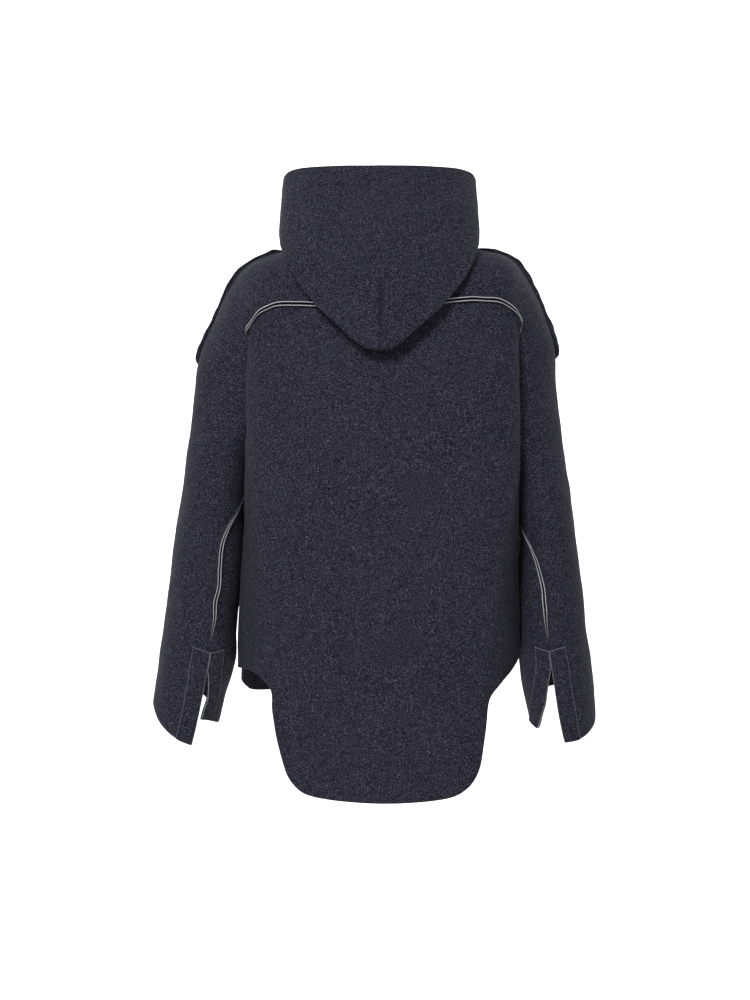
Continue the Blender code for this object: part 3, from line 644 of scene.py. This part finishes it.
bodyCut = {
    # height, left, right, back, front, depth of the back's folded side edge
    "sections": (
        (-0.139, 0.197, 0.209, 0.124, 0.116, 0.075),
        (-0.200, 0.199, 0.210, 0.130, 0.128, 0.079),
        (-0.285, 0.200, 0.212, 0.134, 0.136, 0.077),
        (-0.375, 0.204, 0.2115, 0.136, 0.140, 0.070),
        (-0.465, 0.210, 0.215, 0.137, 0.142, 0.062),
        (-0.550, 0.216, 0.219, 0.136, 0.142, 0.055),
        (-0.620, 0.217, 0.219, 0.134, 0.140, 0.050),
        (-0.700, 0.215, 0.216, 0.130, 0.136, 0.048),
    ),
    "roundness": 3.0,
    "sideSeamY": -0.028, "sideInset": 0.014, "sideTurn": 0.10,
    "sideEnd": {1: -0.628, -1: -0.578},
    "sideRows": 9,              # the solid's rows along the side seam
    "backWrap": 112, "endPull": 8, "hemCurl": 0.05, "hemReach": 1.5, "tailFlatness": 0.6,
    "neckDrop": 0.062, "neckReach": 0.098,
    # share across, x, height
    "backHem": (
        (1.00, 0.203, -0.628), (0.86, 0.2155, -0.628), (0.76, 0.186, -0.632), (0.69, 0.164, -0.656),
        (0.62, 0.157, -0.708), (0.54, 0.147, -0.757), (0.44, 0.130, -0.796), (0.30, 0.095, -0.816),
        (0.00, 0.000, -0.825), (-0.30, -0.090, -0.820), (-0.44, -0.128, -0.806), (-0.54, -0.149, -0.776),
        (-0.62, -0.158, -0.722), (-0.69, -0.166, -0.672), (-0.76, -0.185, -0.645), (-0.86, -0.212, -0.612),
        (-1.00, -0.206, -0.578),
    ),
    "frontHem": (
        (1.00, 0.203, -0.628), (0.95, 0.2105, -0.641), (0.90, 0.2105, -0.652), (0.84, 0.203, -0.662),
        (0.76, 0.188, -0.668), (0.40, 0.120, -0.668),
        (0.00, 0.000, -0.668), (-0.40, -0.120, -0.664), (-0.80, -0.190, -0.644), (-1.00, -0.206, -0.578),
    ),
    "rowsPerStep": 9, "columns": 176,
}


def bodySection(height):
    return curveAt(bodyCut["sections"], height)


def sideSeam(side, height):
    section = bodySection(height)
    half = section[..., 0 if side > 0 else 1]
    start = backEdge(side, sleeveCut["underarm"])
    share = ease((start[2] - height) / bodyCut["sideTurn"])
    x = start[0] * (1 - share) + side * (half - bodyCut["sideInset"]) * share
    y = start[1] * (1 - share) + bodyCut["sideSeamY"] * share
    return np.stack([x, y, height], axis=-1)


def sideEdge(side, firstStation, steps, edge):
    # armhole down to the underarm, then the side seam, read at the solid's row numbers
    armholeSteps = (sleeveCut["underarm"] - firstStation) * 2
    stations = firstStation + np.minimum(steps, armholeSteps) / 2
    points, facing = edge(side, stations), seamFacing(side, stations, edge)
    below = np.maximum(steps - armholeSteps, 0) / bodyCut["sideRows"]
    start = edge(side, float(sleeveCut["underarm"]))[2]
    seam = sideSeam(side, start + (bodyCut["sideEnd"][side] - start) * below)
    isSeam = (steps > armholeSteps)[:, None]
    forward = unitOf(np.array((side, -0.15, 0.0)))
    facing = np.where((steps >= armholeSteps - 1e-6)[:, None], forward, facing)
    gaps = np.where(steps <= armholeSteps, cloth["armholeGap"], cloth["seamGap"] / 2)[:, None]
    return np.where(isSeam, seam, points), facing, gaps


def frontNeck(side, share):
    # share from 1 at the side of the neck to 0 at its front
    start = frontEdge(side, float(sleeveCut["neckSide"]))
    turn = np.radians(90 * (1 - np.clip(share, 0, 1)))
    return np.stack([
        start[0] * np.cos(turn),
        start[1] - bodyCut["neckReach"] * np.sin(turn),
        start[2] - bodyCut["neckDrop"] * np.sin(turn) ** 1.5,
    ], axis=-1)


def topOfBack(shares):
    points, facing = np.zeros((len(shares), 3)), np.zeros((len(shares), 3))
    stations = np.abs(shares) * sleeveCut["yokeEnd"]
    for side in (1, -1):
        mine = shares >= 0 if side > 0 else shares < 0
        points[mine] = backEdge(side, stations[mine])
        facing[mine] = seamFacing(side, stations[mine], backEdge)
    return points, facing, cloth["lipHeight"] * yokeLip(stations), (0, 0, 0)


def topOfFront(shares):
    # the middle quarter is the neck line, the rest the shoulder seams
    points, facing = np.zeros((len(shares), 3)), np.zeros((len(shares), 3))
    neck = np.abs(shares) < 0.25
    level = 0 * shares[neck]
    facing[neck] = unitOf(np.stack([level, np.abs(shares[neck] * 4) - 1, 1 + level], axis=1))
    stations = sleeveCut["neckSide"] + (np.abs(shares) - 0.25) * 8
    for side in (1, -1):
        mine = neck & (shares * side >= 0)
        points[mine] = frontNeck(side, np.abs(shares[mine]) * 4)
        mine = ~neck & (shares * side > 0)
        points[mine] = frontEdge(side, stations[mine])
        facing[mine] = seamFacing(side, stations[mine], frontEdge)
    heights = np.where(neck, 0, shoulderLip(stations))
    return points, facing, cloth["lipHeight"] * heights, shoulderLean(stations, "front")


def bodyGrid(top, topShares, steps, sides, lastStep, hem, facing):
    reach = math.radians(bodyCut["backWrap"] if facing > 0 else 90)
    power = 2 / bodyCut["roundness"]
    under = signedPower(math.cos(reach), power)
    shares = topShares[None, :]

    def arch(rowSides):
        left, right = (rowSides[side][:, None] for side in (1, -1))
        leftward = shares >= 0
        height = (left[..., 2] * (1 + shares) + right[..., 2] * (1 - shares)) / 2
        section = bodySection(height)
        side = np.where(leftward, 1, -1)
        endX = np.where(leftward, left[..., 0], right[..., 0])
        endY = np.where(leftward, left[..., 1], right[..., 1])
        half = np.where(leftward, section[..., 0], section[..., 1]) if facing > 0 else np.abs(endX)
        stand = facing * section[..., 2 if facing > 0 else 3]
        widest = section[..., 4] if facing > 0 else endY
        turn = reach * np.abs(shares)
        across = side * half * signedPower(np.sin(turn), power)
        y = widest + (stand - widest) * signedPower(np.cos(turn), power)
        missX = endX - side * half * signedPower(math.sin(reach), power)
        missY = endY - widest - (stand - widest) * under
        late = np.abs(shares) ** bodyCut["endPull"]
        return np.stack([across + missX * late, y + missY * late, height], axis=-1)

    body = arch(sides)
    first = arch({side: sides[side][:1] for side in (1, -1)})
    foot = arch({side: sides[side][-1:] for side in (1, -1)})
    hemAt = curveAt(hem, topShares)
    section = bodySection(foot[0, :, 2])
    half = np.where(hemAt[:, 0] > 0, section[:, 0], section[:, 1])
    power = bodyCut["roundness"]
    rounded = (1 - np.minimum(np.abs(hemAt[:, 0]) / half, 1) ** power) ** (1 / power)
    flat = section[:, 4] + (section[:, 2] - section[:, 4]) * rounded - foot[0, :, 1]
    inLine = bodyCut["tailFlatness"] * (1 - ease((np.abs(topShares) - 0.68) / 0.16)) * (facing > 0)
    bottom = np.stack([
        hemAt[:, 0],
        foot[0, :, 1] + flat * inLine - facing * bodyCut["hemCurl"] * (foot[0, :, 2] - hemAt[:, 1]),
        hemAt[:, 1],
    ], axis=-1)
    down = (steps / lastStep)[:, None, None]
    nearHem = ease((down - 0.25) / 0.75) ** bodyCut["hemReach"]
    grid = body + (top[None] - first) * (1 - down) ** 3 + (bottom[None] - foot) * nearHem
    grid[:, 0], grid[:, -1] = sides[1], sides[-1]
    return grid


def makeBodyPanel(name, topOf, edge, firstStation, hem, facing):
    armholeSteps = (sleeveCut["underarm"] - firstStation) * 2
    lastStep = armholeSteps + bodyCut["sideRows"]
    count = int(lastStep * bodyCut["rowsPerStep"])
    steps = np.concatenate([[0], np.linspace(0.20, lastStep, count)])
    shares = spread(bodyCut["columns"], 0.008, 0.008)
    shares = 1 - 2 * shares
    top, topFacing, heights, lean = topOf(shares)
    sides, facings, gaps = {}, {}, {}
    for side in (1, -1):
        sides[side], facings[side], gaps[side] = sideEdge(side, firstStation, steps, edge)
    grid = bodyGrid(top, shares, steps, sides, lastStep, hem, facing)
    seams = {
        "first": (facings[1], None, gaps[1]),
        "last": (facings[-1], None, gaps[-1]),
        "top": (topFacing, heights, lean),
    }
    outer, inner, raw = clothWalls(grid, lambda p: np.array((0, facing, 0)), seams, creases[name])
    return closedPiece(name, outer, inner, raw, feltMaterial("felt_" + name), name)


# ---- hood

hoodCut = {
    # direction round the neck from the middle of the back; rim x, y, z; fold x, y, z
    "sections": (
        (0, 0.000, 0.046, 0.1295, 0.000, 0.158, -0.1520),
        (14, 0.050, 0.044, 0.1290, 0.025, 0.156, -0.1475),
        (28, 0.092, 0.038, 0.1275, 0.060, 0.150, -0.1210),
        (42, 0.122, 0.026, 0.1250, 0.097, 0.138, -0.0890),
        (56, 0.141, 0.008, 0.1190, 0.128, 0.118, -0.0500),
        (72, 0.147, -0.018, 0.1060, 0.145, 0.086, -0.0140),
        (90, 0.143, -0.048, 0.0830, 0.149, 0.040, 0.0080),
        (112, 0.128, -0.078, 0.0500, 0.136, -0.020, 0.0150),
        (135, 0.098, -0.104, 0.0130, 0.106, -0.066, -0.0080),
        (158, 0.055, -0.124, -0.0160, 0.060, -0.098, -0.0360),
        (180, 0.000, -0.132, -0.0300, 0.000, -0.112, -0.0480),
    ),
    "rise": 0.0009, "swell": 0.16, "pouchLift": 0.17, "foldRadius": 0.008,
    "dartTop": -0.036, "dartDepth": 0.0050, "dartWidth": 0.0030,
    "halfColumns": 120, "rows": 150,
}


def hoodProfile(side, angle):
    # points from the rim down the outside, round the fold and back to the neck
    section = curveAt(hoodCut["sections"], angle)
    turn = math.radians(angle)
    away = np.array((side * math.sin(turn), math.cos(turn), 0.0))
    rim = section[:3] * (side, 1, 1)
    fold = section[3:] * (side, 1, 1)
    if angle < 90:
        neck = frontEdge(side, sleeveCut["neckSide"] * angle / 90)
    else:
        neck = frontNeck(side, (180 - angle) / 90)
    neck = neck + np.array((0, 0, hoodCut["rise"]))
    depth = np.linalg.norm(fold - neck)
    swell = away * (0.25, 1, 1) * hoodCut["swell"] * depth
    up = np.array((0, 0, hoodCut["foldRadius"]))
    inward = -away * hoodCut["foldRadius"]
    under = fold + 2 * inward + up
    lift = np.array((0, 0.7 * ease(1.5 - angle / 90) * 2 - 0.7, 0.7)) * hoodCut["pouchLift"] * depth
    return np.array((
        rim,
        rim + (fold - rim) * 0.33 + swell * 0.8,
        rim + (fold - rim) * 0.70 + swell,
        fold + up,
        fold + inward,
        under,
        under + (neck - under) * 0.35 + lift,
        under + (neck - under) * 0.70 + lift * 1.15,
        neck,
    ))


def makeHood():
    columns = 2 * hoodCut["halfColumns"]
    places = np.linspace(0, 8, hoodCut["rows"])
    grid = np.zeros((len(places), columns, 3))
    for column in range(columns):
        angle = 360 * column / columns
        side = 1 if angle <= 180 else -1
        grid[:, column] = curveThrough(hoodProfile(side, angle if angle <= 180 else 360 - angle), places)
    belowTop = ease((hoodCut["dartTop"] - grid[..., 2]) / 0.03) * (1 - ease(places - 2.8))[:, None]
    groove = np.exp(-((grid[..., 0] + 0.0025) / hoodCut["dartWidth"]) ** 2) * (grid[..., 1] > 0)
    grid[..., 1] -= hoodCut["dartDepth"] * belowTop * groove
    wrapped = np.concatenate([grid[:, -1:], grid, grid[:, :1]], axis=1)
    normals = gridNormals(wrapped, lambda p: np.array((0, 0, 0)))[:, 1:-1]
    if normals[6, 0][1] < 0:
        normals = -normals
    atNeck = ease((8 - places) / 0.8)[:, None]
    moved = (cloth["swell"] * softWaves(grid, cloth["swellSize"], 5)
             + cloth["ripple"] * softWaves(grid, cloth["rippleSize"], 6, 12)) * atNeck
    outside = (1 - ease(places - 3.4))[:, None]
    moved = moved + creaseDepth(grid, creases["hood"]) * outside
    outer = grid + normals * moved[..., None]
    wrapped = np.concatenate([outer[:, -1:], outer, outer[:, :1]], axis=1)
    fresh = gridNormals(wrapped, lambda p: np.array((0, 0, 0)))[:, 1:-1]
    if fresh[6, 0][1] < 0:
        fresh = -fresh
    inner = outer - fresh * cloth["thickness"]
    raw = np.zeros(grid.shape[:2])
    return closedPiece("hood", outer, inner, raw, feltMaterial("felt_hood"), "hood", ring=True)


# ---- cuff facings

facingCut = {"width": 0.029, "clearance": 0.0006, "thickness": 0.00176, "rows": 90, "columns": 26,
             "stitchIn": 0.0040, "stitchDeep": 0.00055,
             "flat": {("left", "outer"): (0.029, 0.147), ("left", "inner"): (0.028, 0.113),
                      ("right", "outer"): (0.029, 0.144), ("right", "inner"): (0.028, 0.123)},
             "area": {("left", "outer"): 0.0041, ("left", "inner"): 0.0029,
                      ("right", "outer"): 0.0041, ("right", "inner"): 0.0034}}


def makeFacing(side, half, name):
    stations = np.linspace(sleeveCut["facingTop"], sleeveCut["last"], facingCut["rows"])
    shares = np.linspace(0, 1, facingCut["columns"])
    front, back = sleeveAngles(side, stations)
    edge, step = (back, -1) if half == "outer" else (front, 1)
    depth = curveThrough(sleeveCut["sections"][side], stations)[:, 5]
    turn = np.degrees(facingCut["width"] / depth)
    dip = 0.10 * (1 - shares)[None] * (1 - ease(stations - sleeveCut["facingTop"]))[:, None]
    grid = sleevePoint(side, stations[:, None] + dip, edge[:, None] + step * turn[:, None] * shares[None])
    middle = np.array((side * 0.27, 0, 0))
    normals = gridNormals(grid, lambda p: (p - middle) * (1, 1, 0))
    worn = cloth["swell"] * softWaves(grid, cloth["swellSize"], 5) + creaseDepth(grid, creases["sleeve"])
    worn += cloth["ripple"] * softWaves(grid, cloth["rippleSize"], 6, 12)
    base = grid + normals * worn[..., None]
    inFromSide = np.minimum(shares, 1 - shares)[None] * facingCut["width"]
    inFromTop = (stations - sleeveCut["facingTop"])[:, None] * 0.046
    inFromEnd = (sleeveCut["last"] - stations)[:, None] * 0.046
    inward = np.minimum(np.minimum(inFromSide, inFromTop), inFromEnd)
    stitch = facingCut["stitchDeep"] * np.exp(-((inward - facingCut["stitchIn"]) / 0.0009) ** 2)
    thickness = facingCut["thickness"]
    outer = base + normals * (thickness + facingCut["clearance"] - stitch)[..., None]
    inner = base + normals * facingCut["clearance"]
    for layer in (outer, inner):
        layer[:, 0] += unitOf(layer[:, 1] - layer[:, 0]) * cloth["seamGap"]
    raw = 0.55 * np.exp(-(shares[None] * facingCut["width"] / 0.0009) ** 2) + 0 * inFromTop
    raw = np.maximum(raw, 0.30 * np.exp(-(inward / 0.0008) ** 2))
    return closedPiece(name, outer, inner, raw, feltMaterial("felt_" + name, 0.95), name)


# ---- the garment

back = makeBodyPanel("back", topOfBack, backEdge, sleeveCut["yokeEnd"], bodyCut["backHem"], 1)
front = makeBodyPanel("front", topOfFront, frontEdge, sleeveCut["shoulderEnd"], bodyCut["frontHem"], -1)
print("body panels made")
hood = makeHood()
print("hood made")
for sideNow, label in ((1, "left"), (-1, "right")):
    makeSleeve(sideNow, "sleeve_" + label)
    for halfNow in ("outer", "inner"):
        makeFacing(sideNow, halfNow, f"cuff_facing_{label}_{halfNow}")
print("sleeves and cuff facings made")


# ---- floor, light and camera

studio = {
    "floorZ": -1.45, "floorColour": (0.90, 0.90, 0.895),
    "worldColour": (1.0, 1.0, 1.0), "worldStrength": 0.26,
    "cameraDistance": 5.0, "cameraX": 0.00675, "cameraZ": -0.375, "viewHeight": 1.5, "planeY": 0.06,
    # name, place, what it points at, size in metres and power in watts
    "lights": [
        ("key_light", (1.2, 3.9, 2.1), (0, 0, -0.3), 1.2, 225),
        ("fill_light", (-1.2, 3.8, 0.6), (0, 0, -0.3), 2.4, 14),
        ("backdrop_light_left", (2.2, -1.2, 1.6), (0.5, -3.6, -0.3), 2.0, 120),
        ("backdrop_light_right", (-2.2, -1.2, 1.6), (-0.5, -3.6, -0.3), 2.0, 120),
    ],
}


def makeFloor():
    # a pale floor that curves up into a backdrop, seen through from its rear side
    profile = [(4.5, 0.0), (-2.0, 0.0), (-2.8, 0.15), (-3.4, 0.7), (-3.6, 1.6), (-3.6, 5.5)]
    rows = curveThrough(profile, np.linspace(0, len(profile) - 1, 41))
    places = [(x, y, studio["floorZ"] + z) for y, z in rows for x in (-6.0, 6.0)]
    faces = [(2 * k, 2 * k + 2, 2 * k + 3, 2 * k + 1) for k in range(len(rows) - 1)]
    mesh = bpy.data.meshes.new("studio_floor")
    mesh.from_pydata(places, [], faces)
    mesh.shade_smooth()
    material = bpy.data.materials.new("pale_floor")
    material.use_nodes = True
    shader = material.node_tree.nodes["Principled BSDF"]
    shader.inputs["Base Color"].default_value = (*studio["floorColour"], 1)
    shader.inputs["Roughness"].default_value = 0.9
    nodes, links = material.node_tree.nodes, material.node_tree.links
    surface = nodes.new("ShaderNodeNewGeometry")
    seeThrough = nodes.new("ShaderNodeBsdfTransparent")
    bySide = nodes.new("ShaderNodeMixShader")
    links.new(surface.outputs["Backfacing"], bySide.inputs["Fac"])
    links.new(shader.outputs["BSDF"], bySide.inputs[1])
    links.new(seeThrough.outputs["BSDF"], bySide.inputs[2])
    links.new(bySide.outputs["Shader"], nodes["Material Output"].inputs["Surface"])
    mesh.materials.append(material)
    floor = bpy.data.objects.new("studio_floor", mesh)
    bpy.context.scene.collection.objects.link(floor)


def makeLight(name, place, target, size, power):
    data = bpy.data.lights.new(name, "AREA")
    data.size, data.energy = size, power
    light = bpy.data.objects.new(name, data)
    light.location = place
    light.rotation_mode = "QUATERNION"
    light.rotation_quaternion = (Vector(target) - Vector(place)).to_track_quat("-Z", "Y")
    bpy.context.scene.collection.objects.link(light)


makeFloor()
for light in studio["lights"]:
    makeLight(*light)

world = bpy.data.worlds.new("studio_world")
world.use_nodes = True
world.node_tree.nodes["Background"].inputs["Color"].default_value = (*studio["worldColour"], 1)
world.node_tree.nodes["Background"].inputs["Strength"].default_value = studio["worldStrength"]
bpy.context.scene.world = world
bpy.context.scene.view_settings.view_transform = "Standard"

cameraData = bpy.data.cameras.new("camera")
cameraData.sensor_width = 36.0
cameraData.lens = 36.0 * (studio["cameraDistance"] - studio["planeY"]) / studio["viewHeight"]
camera = bpy.data.objects.new("camera", cameraData)
camera.location = (studio["cameraX"], studio["cameraDistance"], studio["cameraZ"])
camera.rotation_euler = (math.radians(90), 0, math.radians(180))
bpy.context.scene.collection.objects.link(camera)
bpy.context.scene.camera = camera
print("floor, lights and camera set")
